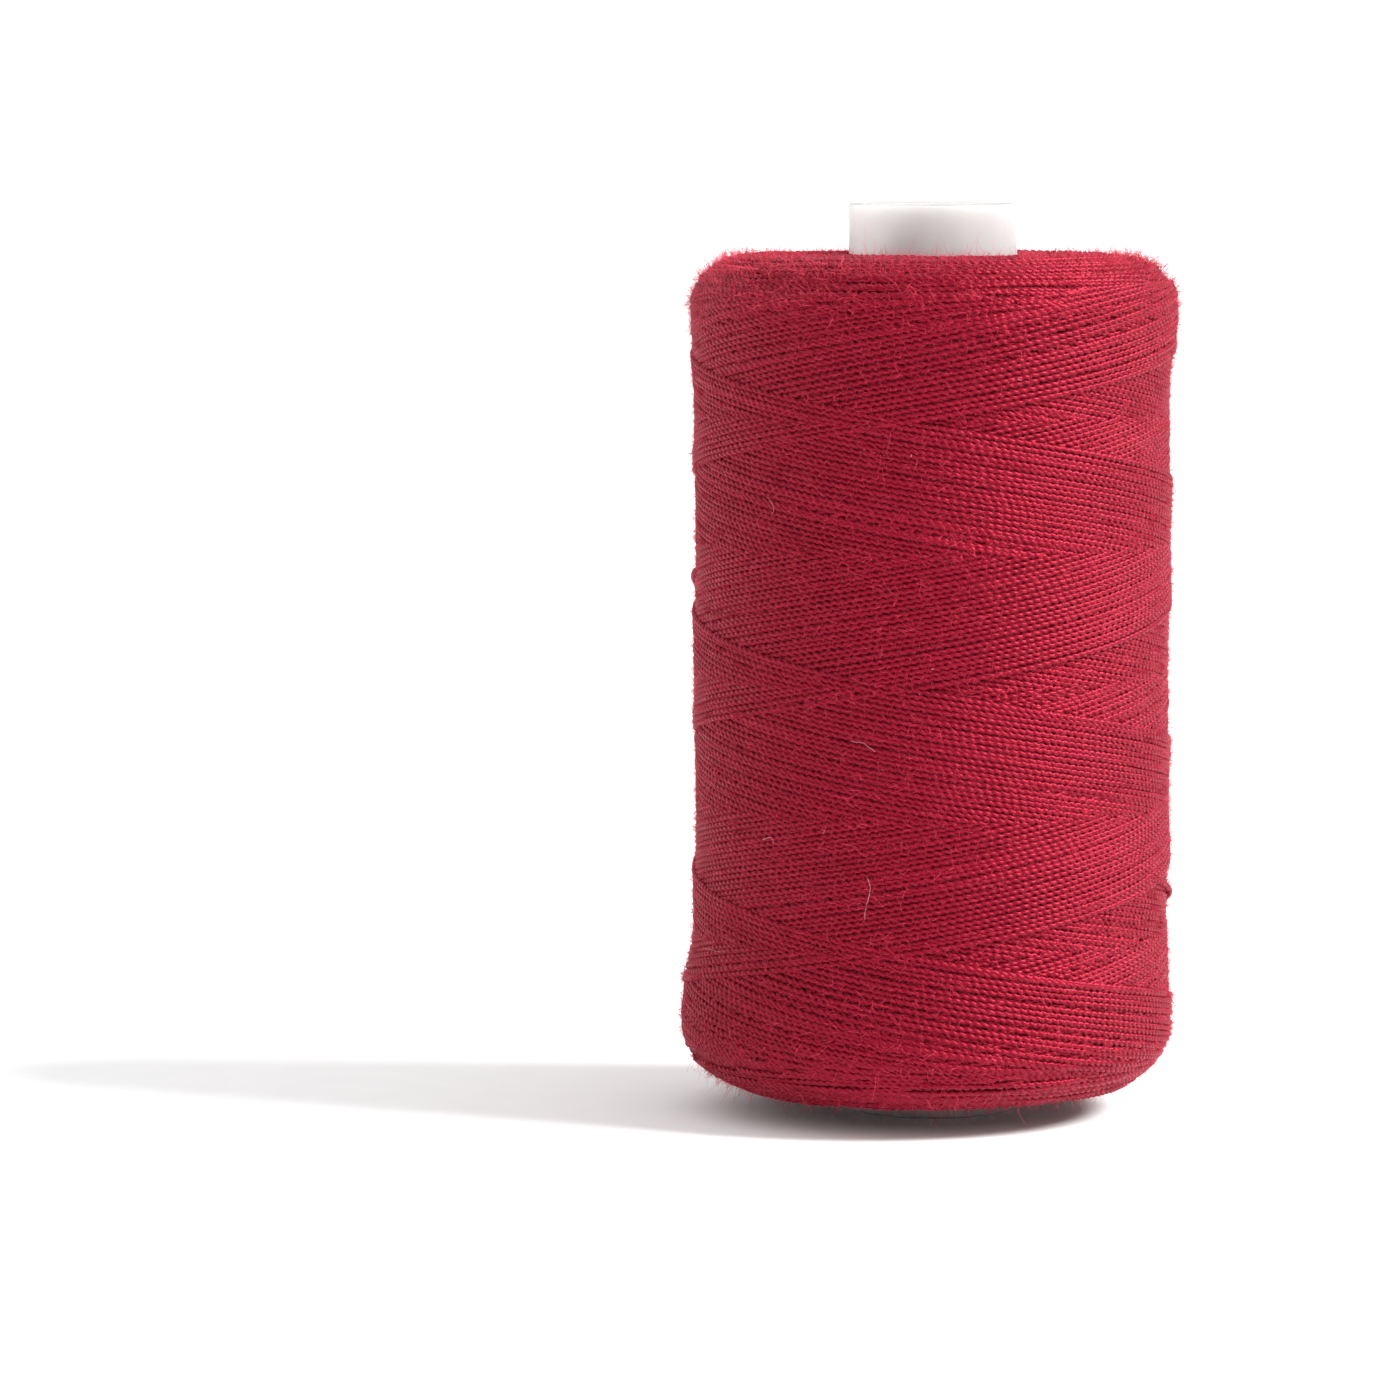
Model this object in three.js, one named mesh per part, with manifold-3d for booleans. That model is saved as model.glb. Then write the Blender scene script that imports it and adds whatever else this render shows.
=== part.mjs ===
// A small spool of sewing thread: a plain moulded plastic tube with a cross-wound package of thread
// on it. The spool stands on the tube's lower rim. Millimetres, +Z up, origin on the spool's axis
// at the tube's lower rim.

import * as THREE from "three";
import * as BufferGeometryUtils from "three/addons/utils/BufferGeometryUtils.js";
import Module from "manifold-3d";

// Driving dimensions of the tube
const TUBE_LENGTH = 53.7;
const TUBE_OUTER_RADIUS = 4.95;
const TUBE_WALL = 0.95;
const RIM_ROUNDING = 0.2;

// The thread catch: a small V nick in the upper rim, on the tube's -X side
const NICK_WIDTH = 0.5;
const NICK_DEPTH = 0.45;

// Driving dimensions of the wound package
const PACKAGE_BOTTOM = 1.58;
const PACKAGE_TOP = 50.8;
const WAIST_RADIUS = 14.0;
const PACKAGE_TO_TUBE = 0.3;
const LOWER_SHOULDER = { radius: 14.54, cornerHeight: 3.54, cornerWidth: 4.59, fadeHeight: 6.5 };
const UPPER_SHOULDER = { radius: 14.33, cornerHeight: 2.81, cornerWidth: 3.41, fadeHeight: 5.5 };

// Fineness of the turned surfaces
const SIDES_AROUND = 72;
const STEPS_PER_RIM_ROUNDING = 2;
const STEPS_PER_CORNER = 7;
const STEPS_PER_FADE = 4;
const STEPS_ALONG_WAIST = 2;

const OVERCUT = 0.5;

const plastic = new THREE.MeshStandardMaterial({ color: 0xf3f1ee, roughness: 0.55, metalness: 0 });
const redThread = new THREE.MeshStandardMaterial({ color: 0x9a0b1f, roughness: 0.85, metalness: 0 });

// Points of a quarter turn of an ellipse about (centreRadius, centreHeight)
function quarterArc(centreRadius, centreHeight, halfWidth, halfHeight, startAngle, steps) {
  const points = [];
  for (let step = 0; step <= steps; step += 1) {
    const angle = startAngle + (Math.PI / 2) * (step / steps);
    const radius = centreRadius + halfWidth * Math.cos(angle);
    const height = centreHeight + halfHeight * Math.sin(angle);
    points.push(new THREE.Vector2(radius, height));
  }
  return points;
}

// Turns a closed outline about the Z axis. Outline points are (radius, height), anticlockwise.
function turned(outline) {
  const closed = [...outline, outline[0].clone()];
  const geometry = new THREE.LatheGeometry(closed, SIDES_AROUND);
  geometry.rotateX(Math.PI / 2);
  return geometry;
}

// The tube's wall in section: a long rectangle with its four edges rounded
function tubeOutline() {
  const outer = TUBE_OUTER_RADIUS - RIM_ROUNDING;
  const inner = TUBE_OUTER_RADIUS - TUBE_WALL + RIM_ROUNDING;
  const low = RIM_ROUNDING;
  const high = TUBE_LENGTH - RIM_ROUNDING;
  const corners = [
    [outer, low, -Math.PI / 2],
    [outer, high, 0],
    [inner, high, Math.PI / 2],
    [inner, low, Math.PI],
  ];
  return corners.flatMap(([radius, height, startAngle]) =>
    quarterArc(radius, height, RIM_ROUNDING, RIM_ROUNDING, startAngle, STEPS_PER_RIM_ROUNDING));
}

// A triangular bar that lies radially across the upper rim at -X, point down
function nickCutter() {
  const height = NICK_DEPTH + OVERCUT;
  const halfWidth = (NICK_WIDTH / 2) * (height / NICK_DEPTH);
  const triangle = new THREE.Shape();
  triangle.moveTo(0, 0);
  triangle.lineTo(halfWidth, height);
  triangle.lineTo(-halfWidth, height);
  triangle.closePath();
  const length = TUBE_WALL + 2 * OVERCUT;
  const bar = new THREE.ExtrudeGeometry(triangle, { depth: length, bevelEnabled: false });
  bar.rotateX(Math.PI / 2);
  bar.rotateZ(-Math.PI / 2);
  bar.translate(OVERCUT + TUBE_WALL - TUBE_OUTER_RADIUS, 0, TUBE_LENGTH - NICK_DEPTH);
  return bar;
}

const wasm = await Module();
wasm.setup();

function toSolid(geometry) {
  const bare = geometry.clone();
  bare.deleteAttribute("normal");
  bare.deleteAttribute("uv");
  const merged = BufferGeometryUtils.mergeVertices(bare);
  const mesh = new wasm.Mesh({
    numProp: 3,
    vertProperties: new Float32Array(merged.attributes.position.array),
    triVerts: new Uint32Array(merged.index.array),
  });
  return new wasm.Manifold(mesh);
}

function toGeometry(solid) {
  const mesh = solid.getMesh();
  const geometry = new THREE.BufferGeometry();
  geometry.setAttribute("position", new THREE.BufferAttribute(mesh.vertProperties, mesh.numProp));
  geometry.setIndex(new THREE.BufferAttribute(mesh.triVerts, 1));
  geometry.computeVertexNormals();
  return geometry;
}

function makeTube() {
  const wall = toSolid(turned(tubeOutline()));
  const notched = wall.subtract(toSolid(nickCutter()));
  const tube = new THREE.Mesh(toGeometry(notched), plastic);
  tube.name = "tube";
  return tube;
}

// Smooth step from 0 to 1
function smooth(share) {
  const held = THREE.MathUtils.clamp(share, 0, 1);
  return held * held * (3 - 2 * held);
}

// The package's side between a shoulder and the waist, from fade share 1 (shoulder) to 0 (waist)
function fadeRadius(shoulder, share) {
  return WAIST_RADIUS + (shoulder.radius - WAIST_RADIUS) * smooth(share);
}

// The package in section: flat ends, round corners, shoulders a little prouder than the waist
function packageOutline() {
  const inner = TUBE_OUTER_RADIUS + PACKAGE_TO_TUBE;
  const lower = LOWER_SHOULDER;
  const upper = UPPER_SHOULDER;
  const lowerCorner = PACKAGE_BOTTOM + lower.cornerHeight;
  const upperCorner = PACKAGE_TOP - upper.cornerHeight;
  const waistLow = lowerCorner + lower.fadeHeight;
  const waistHigh = upperCorner - upper.fadeHeight;
  const points = [new THREE.Vector2(inner, PACKAGE_BOTTOM)];
  points.push(...quarterArc(lower.radius - lower.cornerWidth, lowerCorner,
    lower.cornerWidth, lower.cornerHeight, -Math.PI / 2, STEPS_PER_CORNER));
  for (let step = 1; step <= STEPS_PER_FADE; step += 1) {
    const share = step / STEPS_PER_FADE;
    points.push(new THREE.Vector2(fadeRadius(lower, 1 - share), lowerCorner + lower.fadeHeight * share));
  }
  for (let step = 1; step <= STEPS_ALONG_WAIST; step += 1) {
    const height = THREE.MathUtils.lerp(waistLow, waistHigh, step / STEPS_ALONG_WAIST);
    points.push(new THREE.Vector2(WAIST_RADIUS, height));
  }
  for (let step = 1; step < STEPS_PER_FADE; step += 1) {
    const share = step / STEPS_PER_FADE;
    points.push(new THREE.Vector2(fadeRadius(upper, share), waistHigh + upper.fadeHeight * share));
  }
  points.push(...quarterArc(upper.radius - upper.cornerWidth, upperCorner,
    upper.cornerWidth, upper.cornerHeight, 0, STEPS_PER_CORNER));
  points.push(new THREE.Vector2(inner, PACKAGE_TOP));
  return points;
}

function makeThreadPackage() {
  const threadPackage = new THREE.Mesh(turned(packageOutline()), redThread);
  threadPackage.name = "thread_package";
  return threadPackage;
}

const spool = new THREE.Group();
spool.add(makeTube());
spool.add(makeThreadPackage());

export default spool;
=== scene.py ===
"""Looks for the spool of sewing thread: cross-wound strands, fuzz and a moulded tube round the CAD frame."""

import math

import bpy
import numpy as np
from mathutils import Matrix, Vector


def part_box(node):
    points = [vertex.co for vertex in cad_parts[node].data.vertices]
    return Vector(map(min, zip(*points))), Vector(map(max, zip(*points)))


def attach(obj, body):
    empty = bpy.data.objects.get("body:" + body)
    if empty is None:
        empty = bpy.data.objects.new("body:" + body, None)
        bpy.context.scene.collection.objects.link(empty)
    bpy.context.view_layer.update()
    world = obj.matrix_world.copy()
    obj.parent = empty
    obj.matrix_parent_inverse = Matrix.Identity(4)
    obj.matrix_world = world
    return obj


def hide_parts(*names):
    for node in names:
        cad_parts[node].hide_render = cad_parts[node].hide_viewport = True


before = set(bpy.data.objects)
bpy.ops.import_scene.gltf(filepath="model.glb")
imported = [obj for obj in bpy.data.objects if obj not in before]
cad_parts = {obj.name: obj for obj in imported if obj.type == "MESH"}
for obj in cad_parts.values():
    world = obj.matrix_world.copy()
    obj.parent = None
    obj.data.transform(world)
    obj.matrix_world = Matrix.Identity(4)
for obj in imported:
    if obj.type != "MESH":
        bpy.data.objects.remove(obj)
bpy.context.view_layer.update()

# The script works in millimetres, and turns to metres where a mesh is made or a place is set.
MM = 0.001
TURN = 2 * math.pi

# One random stream for each thing that varies
HELIX_SEED = 11
ARC_SEED = 23
STRAND_SEED = 37
FIBRE_TONE_SEED = 5
FUZZ_SEED = 61
LINT_SEED = 71

# Cross winding. A strand climbs or falls one PITCH a turn, and runs STROKE_TURNS turns between two ends.
PITCH = 15.43
STROKE_TURNS = 3
STRANDS_PER_CYCLE = 49
CYCLES_LAID = 2.0
CROSSING_HEIGHT = 26.1
CROSSING_ANGLE = -0.05
TURN_ROUNDING = 0.09
TURN_OVERSHOOT = 0.4
TURN_SWAY = 0.45
TURN_SWAY_STROKES = 4
TURN_JITTER = 0.12
TURN_SPREAD_REACH = 0.3
# Wander of a strand sideways and in height: sizes, each with the length of its waves in turns
WANDER = ((0.022, 0.11), (0.03, 0.4))
LIFT_WANDER = ((0.02, 0.05),)

# Lift of a strand's centre off the surface. A cycle of winding laid later sinks it by AGE_DROP.
NEWEST_LIFT = 0.02
AGE_DROP = 0.28
AGE_FADE = 0.5

# Steps of this share of a turn never line up.
GOLDEN_SHARE = 0.381966

# The thread: two plies twisted together. Its section, given by radii at even angles, turns along its length.
PLY_TIP = 0.2
PLY_SHOULDER = 0.178
PLY_GROOVE = 0.128
SECTION = 2 * (PLY_TIP, PLY_SHOULDER, PLY_GROOVE, PLY_SHOULDER)
STRAND_SIDES = len(SECTION)
STRAND_RADIUS = 0.145
TWIST_PITCH = 1.0

# How the thread changes along itself: sizes, each with the length of its waves in samples
TWIST_CHANGES = ((0.35, 14),)
GIRTH_CHANGES = ((0.05, 9), (0.03, 70))
TONE_CHANGES = ((0.6, 40), (0.4, 300))

# A strand whose end is hidden sinks steeply just before it.
END_DIP_POWER = 8

# Turning arcs on the shoulders and the ends of the package
ARC_SPACING = 0.048
ARC_ZONE_START = 4.0
ARC_HALF_SPAN = (0.85, 1.35)
ARC_LIFT_ABOVE = -0.29
ARC_LIFT_BELOW = -0.04
ARC_DIP = 0.3
ARC_BOW = 0.7
ARC_ROUGHNESS = 0.05
ARC_SHIFT = 0.04
ARC_WANDER = ((0.11, 0.08),)

# Stray strands: bearings in degrees round from the front, heights at both ends, and how far they stand off
STRAYS = (
    ((62, 106), (14.8, 11.8), 0.14),
    ((-114, -80), (29.9, 32.4), 0.13),
)
STRAY_DIP = 0.5

# The foot of the package leans a little to the left.
LEAN = -0.3
LEAN_TOP = 11.0
LEAN_FADE = 5.0
LEAN_FROM = 6.0
LEAN_REACH = 4.0

# The map of which strand is on top, over the package's outline and its circumference
COLUMNS = 560
ROW_STEP = 0.04
OUTLINE_SMOOTHING = 0.35
COVER_ROWS = 3
SEEN_SMOOTHING = 2

# The side of the package: how near the outline is to its greatest radius, and how level its normal is
SIDE_BAND = 1.0
SIDE_NORMAL = 0.995

# A strand dives where less than DIVE_BELOW of its width is seen. Below SEEN_LEAST it isn't made.
DIVE_BELOW = 0.45
DIVE_DEPTH = 0.16
SEEN_LEAST = 0.16
RUN_GAP = 4
SHORTEST_RUN = 4
RUN_TAIL = 3
RINGS_PER_PIECE = 12000

# Texture places of tubes: rings in a strip, margin beside each strip, and half sizes of an end cap
STRIP_COLUMNS = 500
STRIP_INSET = 0.08
CAP_REACH = (0.4, 0.1)

# The backing body under the strands
CORE_DEPTH = 0.42
CORE_ROW = 0.32
CORE_MARGIN = 0.2
CORE_BORE = 5.05
CORE_COLUMNS = 180

# Loose fibres
FUZZ_PIECES = 7
FIBRES_PER_PIECE = 13800
FIBRE_STEPS = 3
FIBRE_LENGTH = 0.45
FIBRE_LENGTH_SPREAD = 0.5
FIBRE_LONGEST = 2.4
FIBRE_RADIUS = 0.0105
FIBRE_TIP = 0.4
FIBRE_SIDES = 3
FIBRE_STAND = (0.35, 1.0)
FIBRE_CURL = 0.45
CURL_KEPT = 0.7
CURL_CHANGE = 0.7
FIBRE_ROOT = 0.1
FIBRE_CLEARANCE = 0.05
# No fibre runs exactly in this direction, so it gives every fibre a direction across.
FIBRE_ACROSS = (0.31, 0.53, 0.79)

# Where the fuzz is thicker and longer: on the upper shoulder, less so on the lower one, and on the side
FUZZ_SHOULDER = 2.5
FUZZ_SHOULDER_FROM = 10
FUZZ_SHOULDER_RISE = 3
FUZZ_SHOULDER_EXTRA = 7.0
FUZZ_FOOT_SHARE = 0.3
FUZZ_SIDE_EXTRA = 5.0
FUZZ_SIDE_SLOPE = 0.3
FUZZ_SHOULDER_LENGTH = 0.8

# Pale lint: bearing in degrees round from the front, height and length
LINT = (
    (-19, 23.2, 2.2), (-15, 15.4, 2.6), (-57, 10.4, 1.6), (-40, 17.0, 1.4), (0, 27.4, 0.4), (-26, 17.8, 0.3),
    (33, 8.7, 0.5), (-42, 37.0, 1.2), (20, 44.0, 0.3), (-5, 39.5, 0.3),
)
LINT_STEPS = 9
LINT_CURL = 0.3
LINT_RADIUS = 0.014
LINT_LIFT = 0.16
LINT_STAND = 0.3

# The tube's section and the nick in its upper rim, on the left
TUBE_WALL = 0.95
TUBE_RIM_ROUNDING = 0.2
TUBE_RIM_STEPS = 6
TUBE_SIDE_STEPS = 120
TUBE_COLUMNS = 160
NICK_ANGLE = -math.pi / 2
NICK_HALF_WIDTH = 0.25
NICK_DEPTH = 0.45
NICK_REACH = 0.6
NICK_COLUMNS = 31
# Reach of the close columns, and the burr's place and width, in half widths of the nick
NICK_CLOSE = 2.5
BURR_PLACE = 1.4
BURR_WIDTH = 0.4
BURR_HEIGHT = 0.1
# Depth of the painted shade at the tube's upper rim
RIM_SHADE_DEPTH = 0.12

# Colours, from dark to light where there are two, and how strongly they take over
THREAD_RED = ((0.056, 0.0011, 0.0054), (0.126, 0.0034, 0.012))
# Painted shade: where its two plies meet, the thread's colour turns towards this dark red, by up to this
# share
GROOVE_SHADE_RED = (0.035, 0.0, 0.003)
GROOVE_SHADE_SHARE = 0.65
GROOVE_SHADE_START = 0.7
TONE_SHARE = 0.1
CORE_RED = ((0.07, 0.002, 0.006), (0.16, 0.005, 0.014))
FIBRE_RED = ((0.5, 0.014, 0.04), (0.85, 0.06, 0.115))
LINT_PINK = ((0.5, 0.22, 0.25), (0.8, 0.5, 0.52))
TUBE_WHITE = ((0.37, 0.357, 0.353), (0.392, 0.379, 0.376))
# Painted shade: the tube turns towards this grey at its upper rim, by up to this share
RIM_SHADE_GREY = (0.1, 0.09, 0.085)
RIM_SHADE_SHARE = 0.6
TUBE_ROUGHNESS = ((0.34, 0.34, 0.34), (0.55, 0.55, 0.55))
FLOOR_WHITE = ((0.93, 0.93, 0.93), (0.95, 0.95, 0.95))

# The camera stands in front of the spool, turned a little to its left and tipped down.
CAMERA_DISTANCE = 378.8
CAMERA_HEIGHT = 59.5
CAMERA_SENSOR = 36
CAMERA_LENS = 166.2
CAMERA_PITCH = 0.09178
CAMERA_YAW = 0.0371

# The light: an even white room and one key. Azimuth 0 is the camera's side, and 90 is to its right.
WORLD_STRENGTH = 1.0
KEY_STRENGTH = 5.4
KEY_SPREAD = 20
KEY_AZIMUTH = 77
KEY_ELEVATION = 40
FLOOR_SIZE = 6.0


def random_stream(seed):
    return np.random.default_rng(seed)


def smooth_noise(count, length, rng):
    """A smooth random curve of unit spread, with waves about length samples long."""
    knots = rng.normal(size=int(count / length) + 4)
    place = np.arange(count) / length
    low = place.astype(int)
    share = place - low
    share = share * share * (3 - 2 * share)
    return knots[low] * (1 - share) + knots[low + 1] * share


def changes(count, kinds, rng, unit=1):
    """The sum of smooth curves of given sizes and wave lengths. A unit of length is so many samples."""
    return sum(size * smooth_noise(count, length * unit, rng) for size, length in kinds)


def smoothed(values, reach):
    """values averaged over a bell of reach samples each side, with the ends held."""
    offsets = np.arange(-reach, reach + 1)
    bell = np.exp(-2.0 * (offsets / max(reach, 1)) ** 2)
    padded = np.pad(values, reach, mode="edge")
    return np.convolve(padded, bell / bell.sum(), mode="valid")


def smooth_step(share):
    held = np.clip(share, 0, 1)
    return held * held * (3 - 2 * held)


# ---------------------------------------------------------------- the package's outline

def outline_of(node):
    """A turned CAD node's outline as points (radius, height), from its inner edge below to that above."""
    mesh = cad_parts[node].data
    points = np.array([v.co for v in mesh.vertices]) / MM
    radius = np.hypot(points[:, 0], points[:, 1])
    # The same radius and height come back all round the axis, so rounded pairs leave one of each.
    pairs = np.unique(np.round(np.column_stack((radius, points[:, 2])), 2), axis=0)
    centre = (pairs.min(axis=0) + pairs.max(axis=0)) / 2
    bearing = np.arctan2(pairs[:, 1] - centre[1], pairs[:, 0] - centre[0])
    return pairs[np.argsort(bearing)]


class Surface:
    """The package's outer surface: radius, height and outward normal at each distance along its outline."""

    def __init__(self, outline):
        steps = np.hypot(*np.diff(outline, axis=0).T)
        distance = np.concatenate(([0], np.cumsum(steps)))
        self.along = np.arange(0, distance[-1], ROW_STEP)
        reach = round(OUTLINE_SMOOTHING / ROW_STEP)
        radius, height = (np.interp(self.along, distance, outline[:, i]) for i in (0, 1))
        radius[reach:-reach] = smoothed(radius, reach)[reach:-reach]
        height[reach:-reach] = smoothed(height, reach)[reach:-reach]
        self.radius = radius
        self.height = height
        slope_r = np.gradient(radius)
        slope_z = np.gradient(height)
        size = np.hypot(slope_r, slope_z)
        self.normal_r = slope_z / size
        self.normal_z = -slope_r / size
        self.rows = len(self.along)

    def place(self, along, angle, lift):
        """Points at distance along the outline, at angle round the axis, lifted off the surface."""
        radius, height, out, up = (
            np.interp(along, self.along, values)
            for values in (self.radius, self.height, self.normal_r, self.normal_z)
        )
        radius = radius + lift * out
        height = height + lift * up
        return np.column_stack((radius * np.sin(angle), -radius * np.cos(angle), height))

    def normal(self, along, angle):
        out = np.interp(along, self.along, self.normal_r)
        up = np.interp(along, self.along, self.normal_z)
        return np.column_stack((out * np.sin(angle), -out * np.cos(angle), up))

    def along_at_height(self, height):
        """Where the side of the package is at this height."""
        side = self.radius > self.radius.max() - SIDE_BAND
        return np.interp(height, self.height[side], self.along[side])


# ---------------------------------------------------------------- laying the thread

class Stretch:
    """A length of thread: its column round the package, place along the outline and lift at each sample."""

    def __init__(self, column, along, lift):
        self.column = column
        self.along = along
        self.lift = lift


def end_overshoot(strokes, rng):
    """How far past its usual place the thread turns at each end of a stroke: a slow sway and a jitter."""
    sway = TURN_SWAY * np.repeat(smooth_noise(strokes // 2 + 1, TURN_SWAY_STROKES, rng), 2)[:strokes + 1]
    return TURN_OVERSHOOT + sway + TURN_JITTER * rng.normal(size=strokes + 1)


def helix(surface):
    """The outer layers of thread as one path that climbs and falls between the two ends of the package."""
    rng = random_stream(HELIX_SEED)
    strokes = 2 * round(CYCLES_LAID * STRANDS_PER_CYCLE)
    # Each cycle of two strokes starts one strand further round.
    turns = STROKE_TURNS + 0.5 / STRANDS_PER_CYCLE
    # The newest stroke passes the front at the height of the crossing.
    first = -strokes * turns - STROKE_TURNS / 2 + CROSSING_ANGLE / TURN
    count = round(strokes * turns * COLUMNS)
    column = math.floor(first * COLUMNS) + np.arange(count)
    turned = np.arange(count) / COLUMNS
    stroke = np.minimum((turned / turns).astype(int), strokes - 1)
    since = turned - stroke * turns
    early = since < turns / 2
    to_end = np.where(early, since, turns - since)
    end = np.where(early, stroke, stroke + 1)
    side = np.where(end % 2 == 0, -1, 1)
    climb = turns / 2 - np.hypot(to_end, TURN_ROUNDING)
    wander = changes(count, WANDER, rng, COLUMNS)
    middle = surface.along_at_height(CROSSING_HEIGHT)
    overshoot = end_overshoot(strokes, rng)[end]
    near_end = np.exp(-(to_end / TURN_SPREAD_REACH) ** 2)
    along = middle + side * (PITCH * climb + overshoot * near_end) + wander
    age = (strokes - turned / turns) / STRANDS_PER_CYCLE / 2
    lift = NEWEST_LIFT - AGE_DROP * (1 - np.exp(-age / AGE_FADE)) + changes(count, LIFT_WANDER, rng, COLUMNS)
    ends = np.flatnonzero(np.diff(stroke)) + 1
    return [Stretch(*part) for part in zip(*(np.split(values, ends) for values in (column, along, lift)))]


def end_arcs(surface):
    """Short arcs where older layers turned back, from the tube outwards over both ends and shoulders."""
    rng = random_stream(ARC_SEED)
    side = np.flatnonzero(surface.normal_r > SIDE_NORMAL)
    ends = (
        (surface.along[-1] - STRAND_RADIUS, surface.along[side[-1]] - ARC_ZONE_START, -1, ARC_LIFT_ABOVE),
        (surface.along[0] + STRAND_RADIUS, surface.along[side[0]] + ARC_ZONE_START, 1, ARC_LIFT_BELOW),
    )
    arcs = []
    for first, last, sign, level in ends:
        count = int(abs(last - first) / ARC_SPACING)
        for number in range(count):
            middle = COLUMNS * (number * GOLDEN_SHARE + rng.uniform(-ARC_SHIFT, ARC_SHIFT))
            half = int(COLUMNS / TURN * rng.uniform(*ARC_HALF_SPAN))
            step = np.arange(-half, half + 1)
            share = np.abs(step / half)
            sway = changes(len(step), ARC_WANDER, rng, COLUMNS) + ARC_BOW * share ** 2
            along = np.clip(first + sign * (number * ARC_SPACING + sway), surface.along[0], surface.along[-1])
            lift = level + ARC_ROUGHNESS * rng.normal() - ARC_DIP * share ** END_DIP_POWER
            arcs.append(Stretch(round(middle) + step, along, lift))
    return arcs


def stray_strands(surface):
    """Single strands pulled across the others, each standing a little off them."""
    strays = []
    for bearings, heights, rise in STRAYS:
        ends = [round(bearing / 360 * COLUMNS) for bearing in bearings]
        column = np.arange(ends[0], ends[1] + 1)
        share = (column - column[0]) / (len(column) - 1)
        low, high = (surface.along_at_height(height) for height in heights)
        along = low + (high - low) * share
        dip = STRAY_DIP * (2 * share - 1) ** END_DIP_POWER
        lift = NEWEST_LIFT + rise * np.sin(math.pi * share) ** 2 - dip
        strays.append(Stretch(column, along, lift))
    return strays


def footprint(surface, stretch):
    """The cells of the surface that a stretch covers, one row of them at a time."""
    middle = np.rint(stretch.along / ROW_STEP).astype(int)
    for step in range(-COVER_ROWS, COVER_ROWS + 1):
        yield np.clip(middle + step, 0, surface.rows - 1), stretch.column % COLUMNS


def seen_share(surface, stretches):
    """For each stretch, how much of its width is left uncovered at each sample by what was laid later."""
    owner = np.full((surface.rows, COLUMNS), -1)
    for number, stretch in enumerate(stretches):
        for row, column in footprint(surface, stretch):
            owner[row, column] = number
    shares = []
    for number, stretch in enumerate(stretches):
        own = [owner[row, column] == number for row, column in footprint(surface, stretch)]
        shares.append(smoothed(np.mean(own, axis=0), SEEN_SMOOTHING))
    return shares


def runs_of(shown):
    """Starts and stops of the runs worth making: gaps are closed, specks dropped and ends drawn out."""
    edges = np.flatnonzero(np.diff(np.concatenate(([0], shown.astype(int), [0]))))
    runs = []
    for start, stop in edges.reshape(-1, 2):
        if runs and start - runs[-1][1] <= RUN_GAP:
            runs[-1][1] = stop
        else:
            runs.append([start, stop])
    grown = []
    for start, stop in runs:
        if stop - start < SHORTEST_RUN:
            continue
        start = max(start - RUN_TAIL, 0)
        stop = min(stop + RUN_TAIL, len(shown))
        if grown and start <= grown[-1][1]:
            grown[-1][1] = stop
        else:
            grown.append([start, stop])
    return grown


# ---------------------------------------------------------------- meshes

def new_piece(name, points, corners, sizes, material):
    """A smooth mesh object from points in millimetres, the corner indices of its faces and their sizes."""
    mesh = bpy.data.meshes.new(name)
    mesh.vertices.add(len(points))
    mesh.vertices.foreach_set("co", (np.asarray(points) * MM).astype(np.float32).ravel())
    mesh.loops.add(len(corners))
    mesh.loops.foreach_set("vertex_index", corners.astype(np.int32))
    mesh.polygons.add(len(sizes))
    starts = np.concatenate(([0], np.cumsum(sizes)[:-1])).astype(np.int32)
    mesh.polygons.foreach_set("loop_start", starts)
    mesh.polygons.foreach_set("use_smooth", np.ones(len(sizes), bool))
    mesh.update(calc_edges=True)
    mesh.materials.append(material)
    piece = bpy.data.objects.new(name, mesh)
    bpy.context.scene.collection.objects.link(piece)
    return piece


def move_points(piece, change):
    """Moves a piece's points by a function of their places in millimetres."""
    flat = np.zeros(3 * len(piece.data.vertices), np.float32)
    piece.data.vertices.foreach_get("co", flat)
    moved = change(flat.reshape(-1, 3) / MM) * MM
    piece.data.vertices.foreach_set("co", moved.astype(np.float32).ravel())
    piece.data.update()


def add_uv(piece, places):
    layer = piece.data.uv_layers.new(name="OFBake")
    layer.data.foreach_set("uv", places.astype(np.float32).ravel())


def add_value(piece, name, values):
    values = np.asarray(values, np.float32)
    kind = "FLOAT" if values.ndim == 1 else "FLOAT_VECTOR"
    field = "value" if values.ndim == 1 else "vector"
    piece.data.attributes.new(name, kind, "POINT").data.foreach_set(field, values.ravel())


def tube_faces(run_lengths, sides):
    """Faces of closed tubes whose rings follow one another: side quads, then a cap on each run's ends."""
    rings = int(np.sum(run_lengths))
    stops = np.cumsum(run_lengths)
    starts = stops - run_lengths
    inner = np.ones(rings, bool)
    inner[stops - 1] = False
    ring = np.flatnonzero(inner)
    side = np.arange(sides)
    low = ring[:, None] * sides + side
    low_next = ring[:, None] * sides + (side + 1) % sides
    quads = np.stack((low, low_next, low_next + sides, low + sides), axis=2).reshape(-1, 4)
    first_caps = starts[:, None] * sides + side[::-1]
    last_caps = (stops - 1)[:, None] * sides + side
    caps = np.concatenate((first_caps, last_caps))
    corners = np.concatenate((quads.ravel(), caps.ravel()))
    sizes = np.concatenate((np.full(len(quads), 4), np.full(len(caps), sides)))
    return ring, corners, sizes, np.concatenate((starts, stops - 1))


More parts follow.
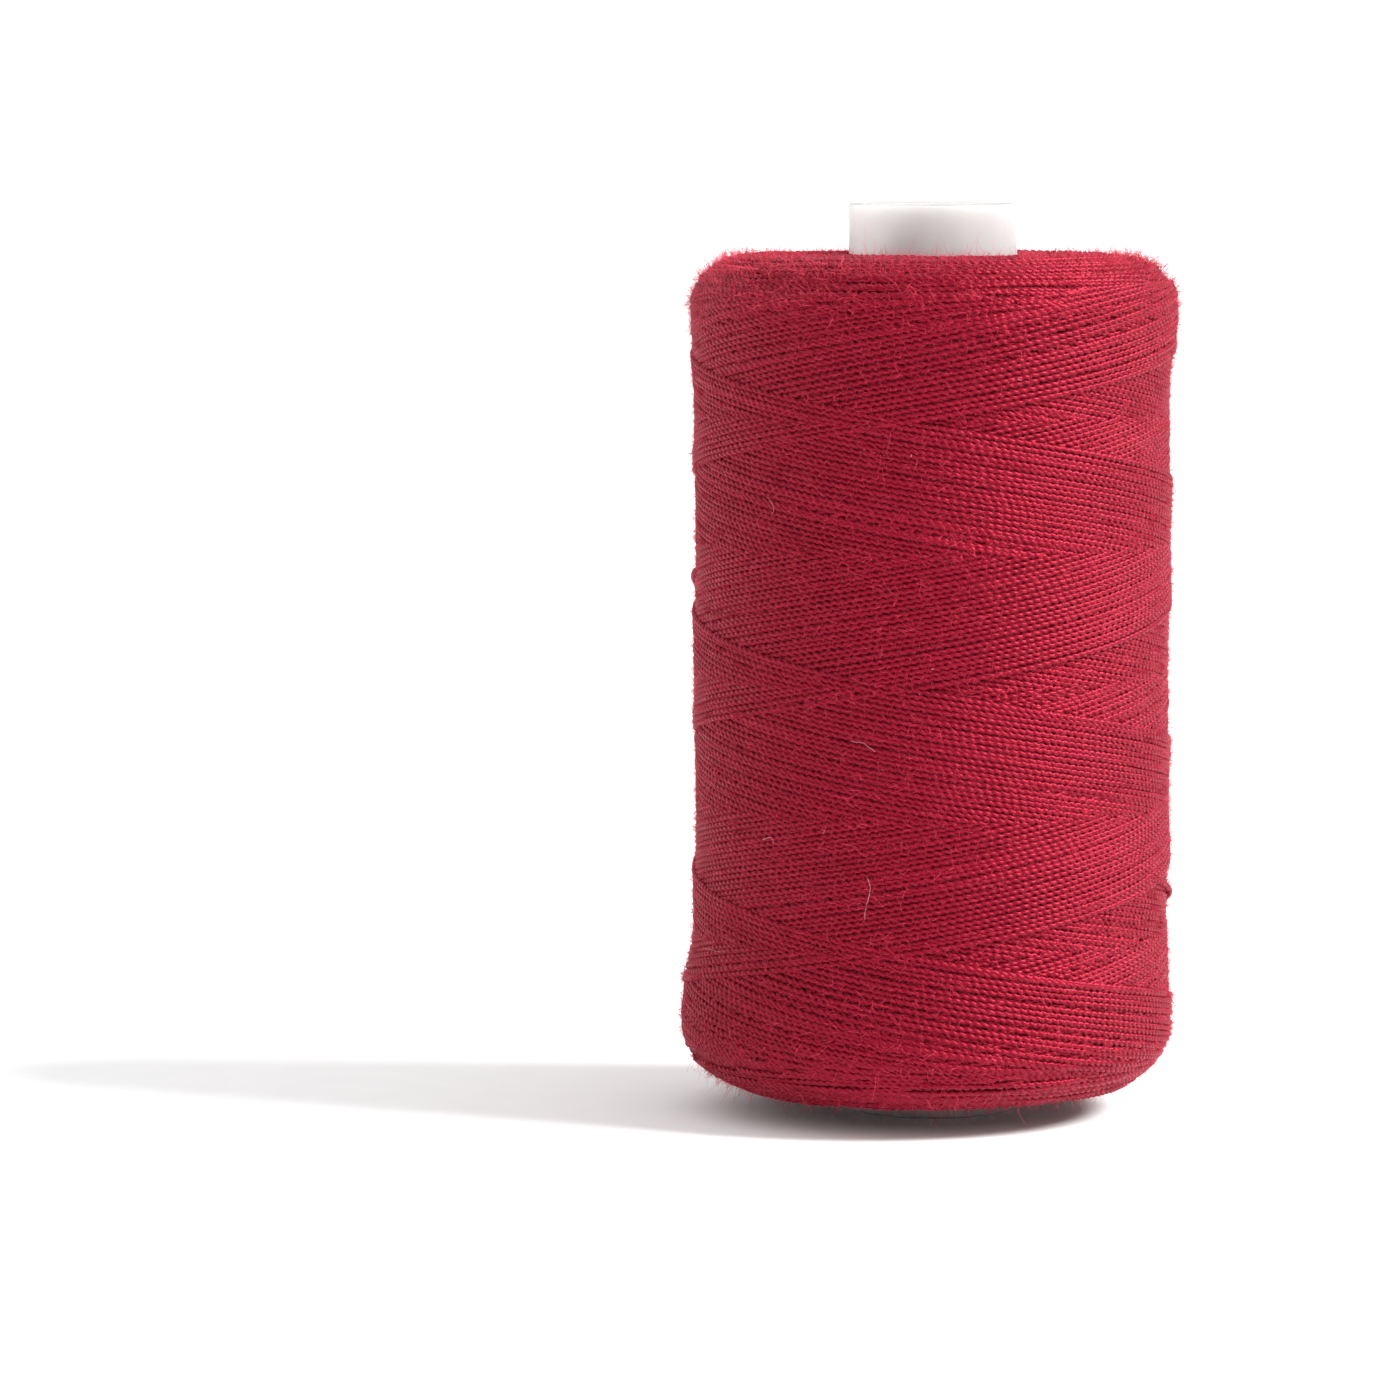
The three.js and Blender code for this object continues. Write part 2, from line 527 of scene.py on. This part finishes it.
def strip_places(ring, cap_ring, sides):
    """Texture places for tubes: quads run along strips, a column to each ring, and caps sit beside them."""
    columns = STRIP_COLUMNS
    strips = math.ceil((max(ring.max(), cap_ring.max()) + 1) / columns)
    across = (np.arange(sides + 1) / sides) * (1 - 2 * STRIP_INSET) + STRIP_INSET

    def along(number, share):
        return (number % columns + share) / columns

    def over(number, share):
        return (number // columns + share) / strips

    low, high = across[:-1], across[1:]
    near = np.stack((low, high, high, low), axis=1)
    far = np.array([0.0, 0.0, 1.0, 1.0])
    u = along(ring[:, None, None], far[None, None, :]) + np.zeros((1, sides, 1))
    v = over(ring[:, None, None], near[None, :, :])
    quads = np.stack((u, v), axis=3).reshape(-1, 2)
    angle = np.arange(sides) * TURN / sides
    cap_u = along(cap_ring[:, None], 0.5 + CAP_REACH[0] * np.cos(angle)[None, :])
    cap_v = over(cap_ring[:, None], 0.5 + CAP_REACH[1] * np.sin(angle)[None, :])
    caps = np.stack((cap_u, cap_v), axis=2).reshape(-1, 2)
    return np.concatenate((quads, caps))


def strand_course(surface, stretch, angle, lift):
    """Where a stretch runs: its points, the directions along it and out of it, and its length so far."""
    place = leaned(surface.place(stretch.along, angle, lift))
    ahead = np.gradient(place, axis=0)
    step = np.linalg.norm(ahead, axis=1)
    ahead /= step[:, None]
    out = surface.normal(stretch.along, angle)
    out -= ahead * np.sum(out * ahead, axis=1)[:, None]
    out /= np.linalg.norm(out, axis=1)[:, None]
    return place, ahead, out, np.cumsum(step)


def strand_samples(surface, stretches):
    """Every visible ring of thread: its centre, directions, twist, length so far, tone and girth."""
    rng = random_stream(STRAND_SEED)
    fields = {name: [] for name in ("centre", "out", "ahead", "twist", "along", "tone", "girth")}
    run_lengths = []
    for stretch, share in zip(stretches, seen_share(surface, stretches)):
        count = len(share)
        dive = DIVE_DEPTH * smooth_step((DIVE_BELOW - share) / DIVE_BELOW)
        # Strands are shifted by up to half a column, so that their rings don't line up.
        angle = (stretch.column + rng.uniform(-0.5, 0.5)) * TURN / COLUMNS
        place, ahead, out, length = strand_course(surface, stretch, angle, stretch.lift - dive)
        loosened = changes(count, TWIST_CHANGES, rng)
        twist = TURN * length / TWIST_PITCH + rng.uniform(0, TURN) + loosened
        girth = 1 + changes(count, GIRTH_CHANGES, rng)
        tone = changes(count, TONE_CHANGES, rng)
        for start, stop in runs_of(share > SEEN_LEAST):
            run_lengths.append(stop - start)
            for name, values in zip(fields, (place, out, ahead, twist, length, tone, girth)):
                fields[name].append(values[start:stop])
    return {name: np.concatenate(values) for name, values in fields.items()}, np.array(run_lengths)


def lean_shift(points):
    """How far the outside of the package stands to the left near its foot."""
    radius = np.hypot(points[..., 0], points[..., 1])
    low = smooth_step((LEAN_TOP - points[..., 2]) / LEAN_FADE)
    shift = LEAN * low * smooth_step((radius - LEAN_FROM) / LEAN_REACH)
    return np.stack((shift, 0 * shift, 0 * shift), axis=-1)


def leaned(points):
    return points + lean_shift(points)


def strand_rings(samples):
    """The points round each ring: two lobes that turn with the twist."""
    radius = np.array(SECTION)
    side = np.radians(np.arange(STRAND_SIDES) * 360 / STRAND_SIDES)
    across = np.cross(samples["ahead"], samples["out"])
    angle = side[None, :] + samples["twist"][:, None]
    size = radius[None, :] * samples["girth"][:, None]
    out = samples["out"][:, None, :] * (size * np.cos(angle))[:, :, None]
    over = across[:, None, :] * (size * np.sin(angle))[:, :, None]
    return samples["centre"][:, None, :] + out + over, side


def make_strands(samples, run_lengths, material):
    """The thread, in pieces of a limited size."""
    points, side = strand_rings(samples)
    pieces = []
    stops = np.cumsum(run_lengths)
    cut_at = np.searchsorted(stops, np.arange(RINGS_PER_PIECE, stops[-1], RINGS_PER_PIECE))
    for number, runs in enumerate(np.split(np.arange(len(run_lengths)), cut_at)):
        rings = slice(stops[runs[0]] - run_lengths[runs[0]], stops[runs[-1]])
        ring, corners, sizes, cap_ring = tube_faces(run_lengths[runs], STRAND_SIDES)
        name = f"thread_winding_{number + 1:02d}"
        piece = new_piece(name, points[rings].reshape(-1, 3), corners, sizes, material)
        add_uv(piece, strip_places(ring, cap_ring, STRAND_SIDES))
        length = samples["along"][rings]
        fibre = np.broadcast_arrays(np.cos(side)[None, :], np.sin(side)[None, :], length[:, None])
        add_value(piece, "fibre_place", np.stack(fibre, axis=2).reshape(-1, 3))
        add_value(piece, "tone", np.repeat(samples["tone"][rings], STRAND_SIDES))
        pieces.append(piece)
    return pieces


def turned_body(name, radius, height, angles, material):
    """A closed turned body: a closed outline (listed with its material on the left) swept round the axis."""
    rows = len(radius)
    columns = len(angles)
    x = radius[:, None] * np.sin(angles)[None, :]
    y = -radius[:, None] * np.cos(angles)[None, :]
    z = np.broadcast_to(height[:, None], x.shape) if height.ndim == 1 else height
    points = np.stack((x, y, z), axis=2).reshape(-1, 3)
    row, column = (grid.ravel() for grid in np.meshgrid(np.arange(rows), np.arange(columns), indexing="ij"))
    above = (row + 1) % rows
    beside = (column + 1) % columns
    quads = np.stack((row * columns + column, row * columns + beside,
                      above * columns + beside, above * columns + column), axis=1)
    piece = new_piece(name, points, quads.ravel(), np.full(len(quads), 4), material)
    u = np.stack((column, column + 1, column + 1, column), axis=1) / columns
    v = np.stack((row, row, row + 1, row + 1), axis=1) / rows
    add_uv(piece, np.stack((u, v), axis=2).reshape(-1, 2))
    return piece


def make_core(surface, material):
    """The older layers, seen only as the dark bottom of the gaps between strands."""
    step = round(CORE_ROW / ROW_STEP)
    row = np.arange(round(CORE_MARGIN / ROW_STEP), surface.rows - round(CORE_MARGIN / ROW_STEP), step)
    radius = surface.radius[row] - CORE_DEPTH * surface.normal_r[row]
    height = surface.height[row] - CORE_DEPTH * surface.normal_z[row]
    radius = np.concatenate((radius, [CORE_BORE, CORE_BORE]))
    height = np.concatenate((height, [height[-1], height[0]]))
    angles = np.arange(CORE_COLUMNS) * TURN / CORE_COLUMNS
    core = turned_body("thread_core", radius, height, angles, material)
    move_points(core, leaned)
    return core


def tube_outline():
    """The tube's section: up the outside, round the upper rim, down the bore and round the lower rim."""
    low, high = (np.array(corner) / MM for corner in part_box("tube"))
    outer = (high[0] - low[0]) / 2
    wall = TUBE_WALL
    rim = TUBE_RIM_ROUNDING
    quarter = np.linspace(0, math.pi / 2, TUBE_RIM_STEPS)
    side = np.linspace(low[2] + rim, high[2] - rim, TUBE_SIDE_STEPS)[1:-1]
    radius = np.concatenate((
        np.full(len(side), outer),
        outer - rim + rim * np.cos(quarter),
        outer - wall + rim - rim * np.sin(quarter),
        np.full(len(side), outer - wall),
        outer - wall + rim - rim * np.cos(quarter),
        outer - rim + rim * np.sin(quarter),
    ))
    height = np.concatenate((
        side,
        high[2] - rim + rim * np.sin(quarter),
        high[2] - rim + rim * np.cos(quarter),
        side[::-1],
        low[2] + rim - rim * np.sin(quarter),
        low[2] + rim - rim * np.cos(quarter),
    ))
    return radius, height, high[2]


def make_tube(material):
    """The moulded tube, with a small nick in its upper rim and a burr beside it."""
    radius, height, top = tube_outline()
    around = np.arange(TUBE_COLUMNS) * TURN / TUBE_COLUMNS
    reach = NICK_CLOSE * NICK_HALF_WIDTH / radius.max()
    close = NICK_ANGLE % TURN + np.linspace(-reach, reach, NICK_COLUMNS)
    far = np.abs(around - NICK_ANGLE % TURN) > reach
    angles = np.sort(np.concatenate((around[far], close)))
    across = np.abs(angles - NICK_ANGLE % TURN) * radius.max() / NICK_HALF_WIDTH
    burr = BURR_HEIGHT * np.exp(-((across - BURR_PLACE) / BURR_WIDTH) ** 2)
    depth = NICK_DEPTH * np.clip(1 - across, 0, 1) - burr
    share = smooth_step((height - (top - NICK_REACH)) / NICK_REACH)
    notched = height[:, None] - share[:, None] * depth[None, :]
    return turned_body("moulded_tube", radius, notched, angles, material)


def fibre_piece(name, points, radius, material):
    """Closed fibres round points (fibre, step, 3)."""
    count, steps, _ = points.shape
    ahead = np.gradient(points, axis=1)
    ahead /= np.linalg.norm(ahead, axis=2)[:, :, None]
    other = np.cross(ahead, np.array(FIBRE_ACROSS))
    other /= np.linalg.norm(other, axis=2)[:, :, None]
    third = np.cross(ahead, other)
    angle = np.arange(FIBRE_SIDES) * TURN / FIBRE_SIDES
    size = radius[:, :, None, None]
    ring = other[:, :, None, :] * np.cos(angle)[:, None] + third[:, :, None, :] * np.sin(angle)[:, None]
    tubes = points[:, :, None, :] + size * ring
    ring_number, corners, sizes, cap_ring = tube_faces(np.full(count, steps), FIBRE_SIDES)
    piece = new_piece(name, tubes.reshape(-1, 3), corners, sizes, material)
    add_uv(piece, strip_places(ring_number, cap_ring, FIBRE_SIDES))
    tone = random_stream(FIBRE_TONE_SEED).normal(size=count)
    add_value(piece, "tone", np.repeat(tone, FIBRE_SIDES * steps))
    return piece


def curled(root, ahead, length, steps, curl, rng):
    """Points along curling fibres that start at root in direction ahead."""
    points = [root]
    turn_axis = rng.normal(size=ahead.shape)
    for _ in range(steps - 1):
        turn_axis = CURL_KEPT * turn_axis + CURL_CHANGE * rng.normal(size=ahead.shape)
        ahead = ahead + curl * np.cross(turn_axis, ahead)
        ahead = ahead / np.linalg.norm(ahead, axis=1)[:, None]
        points.append(points[-1] + ahead * (length / (steps - 1))[:, None])
    return np.stack(points, axis=1)


def kept_off(points, out):
    """Points lifted back to where their fibre starts, along out, where it has curled into the thread."""
    depth = np.sum((points[:, :1] - points) * out[:, None, :], axis=2)
    points = points + np.maximum(depth, 0)[:, :, None] * out[:, None, :]
    points[:, :, 2] = np.maximum(points[:, :, 2], FIBRE_CLEARANCE)
    return points


def on_shoulder(surface, centre):
    """How far each point is on a shoulder of the package, from 0 to 1, and less on the lower one."""
    radius = np.hypot(centre[:, 0], centre[:, 1])
    height = centre[:, 2]
    low, high = surface.height.min(), surface.height.max()
    to_end = np.minimum(height - low, high - height)
    outside = smooth_step((radius - FUZZ_SHOULDER_FROM) / FUZZ_SHOULDER_RISE)
    shoulder = np.exp(-(to_end / FUZZ_SHOULDER) ** 2) * outside
    return shoulder * np.where(height > (low + high) / 2, 1, FUZZ_FOOT_SHARE)


def make_fuzz(surface, samples, material):
    """Loose fibres that stand off the thread, more of them on the side and the upper shoulder."""
    rng = random_stream(FUZZ_SEED)
    shoulder = on_shoulder(surface, samples["centre"])
    side = np.abs(samples["out"][:, 2]) < FUZZ_SIDE_SLOPE
    weight = 1 + FUZZ_SHOULDER_EXTRA * shoulder + FUZZ_SIDE_EXTRA * side
    pieces = []
    for number in range(FUZZ_PIECES):
        root = rng.choice(len(weight), FIBRES_PER_PIECE, p=weight / weight.sum())
        out = samples["out"][root]
        spin = rng.uniform(0, TURN, len(root))[:, None]
        across = np.cross(samples["ahead"][root], out)
        flat = samples["ahead"][root] * np.cos(spin) + across * np.sin(spin)
        stand = rng.uniform(*FIBRE_STAND, len(root))[:, None]
        ahead = out * stand + flat * np.sqrt(1 - stand ** 2)
        length = FIBRE_LENGTH * np.exp(FIBRE_LENGTH_SPREAD * rng.normal(size=len(root)))
        length = np.minimum(length * (1 + FUZZ_SHOULDER_LENGTH * shoulder[root]), FIBRE_LONGEST)
        start = samples["centre"][root] + out * FIBRE_ROOT
        points = kept_off(curled(start, ahead, length, FIBRE_STEPS, FIBRE_CURL, rng), out)
        taper = np.linspace(FIBRE_RADIUS, FIBRE_RADIUS * FIBRE_TIP, FIBRE_STEPS)
        size = np.broadcast_to(taper, points.shape[:2])
        pieces.append(fibre_piece(f"loose_fibres_{number + 1}", points, size, material))
    return pieces


def make_lint(surface, material):
    """A few pale fibres caught on the winding."""
    rng = random_stream(LINT_SEED)
    fibres = []
    for bearing, height, length in LINT:
        along = surface.along_at_height(height)
        angle = np.array([math.radians(bearing)])
        root = surface.place(along, angle, LINT_LIFT)
        ahead = np.array([[math.cos(angle[0]), math.sin(angle[0]), rng.normal()]])
        out = surface.normal(along, angle)
        ahead += out * LINT_STAND
        ahead /= np.linalg.norm(ahead)
        fibres.append(kept_off(curled(root, ahead, np.array([length]), LINT_STEPS, LINT_CURL, rng), out))
    points = np.concatenate(fibres)
    return fibre_piece("pale_lint", points, np.full(points.shape[:2], LINT_RADIUS), material)


# ---------------------------------------------------------------- materials

def principled(name, **values):
    material = bpy.data.materials.new(name)
    material.use_nodes = True
    shader = material.node_tree.nodes["Principled BSDF"]
    for socket, value in values.items():
        shader.inputs[socket.replace("_", " ")].default_value = value
    return material, material.node_tree.nodes, material.node_tree.links, shader


def attribute(nodes, name):
    node = nodes.new("ShaderNodeAttribute")
    node.attribute_name = name
    return node


def noise_at(nodes, links, place, scale, detail, stretch):
    """A noise at a place, finer where stretch is larger."""
    mapping = nodes.new("ShaderNodeMapping")
    mapping.inputs["Scale"].default_value = stretch
    links.new(place, mapping.inputs["Vector"])
    noise = nodes.new("ShaderNodeTexNoise")
    noise.inputs["Scale"].default_value = scale
    noise.inputs["Detail"].default_value = detail
    links.new(mapping.outputs["Vector"], noise.inputs["Vector"])
    return noise.outputs["Fac"]


def ramp_between(nodes, links, value, colours, places):
    """The first colour below the first place, the second one above the second, and a mix between them."""
    ramp = nodes.new("ShaderNodeValToRGB")
    for element, colour, place in zip(ramp.color_ramp.elements, colours, places):
        element.position = place
        element.color = (*colour, 1)
    links.new(value, ramp.inputs["Fac"])
    return ramp.outputs["Color"]


def noise_between(nodes, links, scale, colours, stretch=(1, 1, 1)):
    """A noise in object space, and its ramp between two colours."""
    place = nodes.new("ShaderNodeTexCoord").outputs["Object"]
    noise = noise_at(nodes, links, place, scale, detail=4, stretch=stretch)
    return noise, ramp_between(nodes, links, noise, colours, places=(0.35, 0.68))


def rise_between(nodes, links, value, low, high, most):
    """A smooth rise from nothing at low to most at high."""
    rise = nodes.new("ShaderNodeMapRange")
    rise.interpolation_type = "SMOOTHSTEP"
    rise.inputs["From Min"].default_value = low
    rise.inputs["From Max"].default_value = high
    rise.inputs["To Max"].default_value = most
    links.new(value, rise.inputs["Value"])
    return rise.outputs["Result"]


def tinted(nodes, links, colour, share, tint):
    """A colour turned towards a tint by a share that varies over the surface."""
    mix = nodes.new("ShaderNodeMixRGB")
    links.new(share, mix.inputs["Fac"])
    links.new(colour, mix.inputs["Color1"])
    mix.inputs["Color2"].default_value = (*tint, 1)
    return mix.outputs["Color"]


def part_of(nodes, links, vector, axis):
    split = nodes.new("ShaderNodeSeparateXYZ")
    links.new(vector, split.inputs["Vector"])
    return split.outputs[axis]


def bumped(nodes, links, shader, height, strength, distance):
    """Relief from a height, distance millimetres deep."""
    bump = nodes.new("ShaderNodeBump")
    bump.inputs["Strength"].default_value = strength
    bump.inputs["Distance"].default_value = distance * MM
    links.new(height, bump.inputs["Height"])
    links.new(bump.outputs["Normal"], shader.inputs["Normal"])


def thread_material():
    """Crimson spun thread: darker and lighter fibres, painted shade in the grooves, fine relief and a soft
    sheen.
    """
    material, nodes, links, shader = principled(
        "thread", Roughness=0.4, IOR=1.9, Specular_IOR_Level=0.87, Specular_Tint=(1.0, 0.04, 0.1, 1.0),
        Sheen_Weight=1.0, Sheen_Roughness=0.3, Sheen_Tint=(1.0, 0.08, 0.15, 1.0))
    place = attribute(nodes, "fibre_place").outputs["Vector"]
    fibres = noise_at(nodes, links, place, scale=3, detail=3, stretch=(1.6, 1.6, 0.9))
    mixed = nodes.new("ShaderNodeMath")
    mixed.operation = "MULTIPLY_ADD"
    mixed.inputs[1].default_value = TONE_SHARE
    links.new(attribute(nodes, "tone").outputs["Fac"], mixed.inputs[0])
    links.new(fibres, mixed.inputs[2])
    red = ramp_between(nodes, links, mixed.outputs["Value"], THREAD_RED, places=(0.25, 0.78))
    # The section is narrow, and the two plies meet, where the second part of fibre_place is near 1 or -1. The
    # base colour is darkened there: painted shade in the grooves.
    meeting = nodes.new("ShaderNodeMath")
    meeting.operation = "ABSOLUTE"
    links.new(part_of(nodes, links, place, "Y"), meeting.inputs[0])
    groove_shade = rise_between(nodes, links, meeting.outputs["Value"], low=GROOVE_SHADE_START, high=1, most=GROOVE_SHADE_SHARE)
    links.new(tinted(nodes, links, red, groove_shade, GROOVE_SHADE_RED), shader.inputs["Base Color"])
    bumped(nodes, links, shader, fibres, strength=0.35, distance=0.02)
    return material


def core_material():
    """The thread's red, deep between the strands."""
    material, nodes, links, shader = principled("thread_depth", Roughness=0.85, Specular_IOR_Level=0.1)
    noise, red = noise_between(nodes, links, scale=2500, colours=CORE_RED, stretch=(0.3, 0.3, 1))
    links.new(red, shader.inputs["Base Color"])
    bumped(nodes, links, shader, noise, strength=0.5, distance=0.1)
    return material


def tube_material():
    """Moulded white plastic that lets a little light through, with faint flow marks and scuffs."""
    material, nodes, links, shader = principled(
        "tube_plastic", Roughness=0.42, Specular_IOR_Level=0.15, Subsurface_Weight=1.0, Subsurface_Scale=MM,
        Subsurface_Radius=(8.0, 7.6, 7.6))
    _, white = noise_between(nodes, links, scale=220, colours=TUBE_WHITE, stretch=(1, 1, 0.25))
    # Painted shade on the rough upper rim: the colour turns grey towards its top edge
    height = part_of(nodes, links, nodes.new("ShaderNodeTexCoord").outputs["Object"], "Z")
    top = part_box("tube")[1][2]
    rim_shade = rise_between(nodes, links, height, low=top - RIM_SHADE_DEPTH * MM, high=top, most=RIM_SHADE_SHARE)
    links.new(tinted(nodes, links, white, rim_shade, RIM_SHADE_GREY), shader.inputs["Base Color"])
    scuffs, roughness = noise_between(nodes, links, scale=1400, colours=TUBE_ROUGHNESS)
    links.new(roughness, shader.inputs["Roughness"])
    bumped(nodes, links, shader, scuffs, strength=0.12, distance=0.03)
    return material


def fibre_material(name, colours):
    """Single loose fibres, each with its own tone."""
    material, nodes, links, shader = principled(name, Roughness=0.5, Specular_IOR_Level=0.4)
    tone = attribute(nodes, "tone").outputs["Fac"]
    links.new(ramp_between(nodes, links, tone, colours, places=(0, 1)), shader.inputs["Base Color"])
    return material


def floor_material():
    material, nodes, links, shader = principled("floor_white", Roughness=0.9, Specular_IOR_Level=0.1)
    _, white = noise_between(nodes, links, scale=300, colours=FLOOR_WHITE)
    links.new(white, shader.inputs["Base Color"])
    return material


# ---------------------------------------------------------------- floor, light and camera

def make_floor():
    bpy.ops.mesh.primitive_plane_add(size=FLOOR_SIZE)
    floor = bpy.context.object
    floor.name = "floor"
    floor.data.materials.append(floor_material())


def make_camera():
    camera = bpy.data.cameras.new("camera")
    camera.sensor_width = CAMERA_SENSOR
    camera.lens = CAMERA_LENS
    body = bpy.data.objects.new("camera", camera)
    body.location = (0, -CAMERA_DISTANCE * MM, CAMERA_HEIGHT * MM)
    body.rotation_euler = (math.pi / 2 - CAMERA_PITCH, 0, CAMERA_YAW)
    bpy.context.scene.collection.objects.link(body)
    bpy.context.scene.camera = body


def make_key():
    light = bpy.data.lights.new("key", "SUN")
    light.energy = KEY_STRENGTH
    light.angle = math.radians(KEY_SPREAD)
    body = bpy.data.objects.new("key", light)
    azimuth = math.radians(KEY_AZIMUTH)
    elevation = math.radians(KEY_ELEVATION)
    body.rotation_euler = (math.pi / 2 - elevation, 0, azimuth)
    bpy.context.scene.collection.objects.link(body)


def make_world():
    world = bpy.data.worlds.new("white_room")
    world.use_nodes = True
    background = world.node_tree.nodes["Background"]
    background.inputs["Color"].default_value = (1, 1, 1, 1)
    background.inputs["Strength"].default_value = WORLD_STRENGTH
    bpy.context.scene.world = world
    bpy.context.scene.view_settings.view_transform = "Standard"


# ---------------------------------------------------------------- making it

surface = Surface(outline_of("thread_package"))
samples, run_lengths = strand_samples(surface, end_arcs(surface) + helix(surface) + stray_strands(surface))
winding = make_strands(samples, run_lengths, thread_material())
loose = make_fuzz(surface, samples, fibre_material("loose_fibre", FIBRE_RED))
core = make_core(surface, core_material())
lint = make_lint(surface, fibre_material("pale_lint", LINT_PINK))
for piece in winding + loose + [core, lint]:
    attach(piece, "root")
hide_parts("thread_package")
tube = make_tube(tube_material())
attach(tube, "root")
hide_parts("tube")

make_floor()
make_camera()
make_world()
make_key()
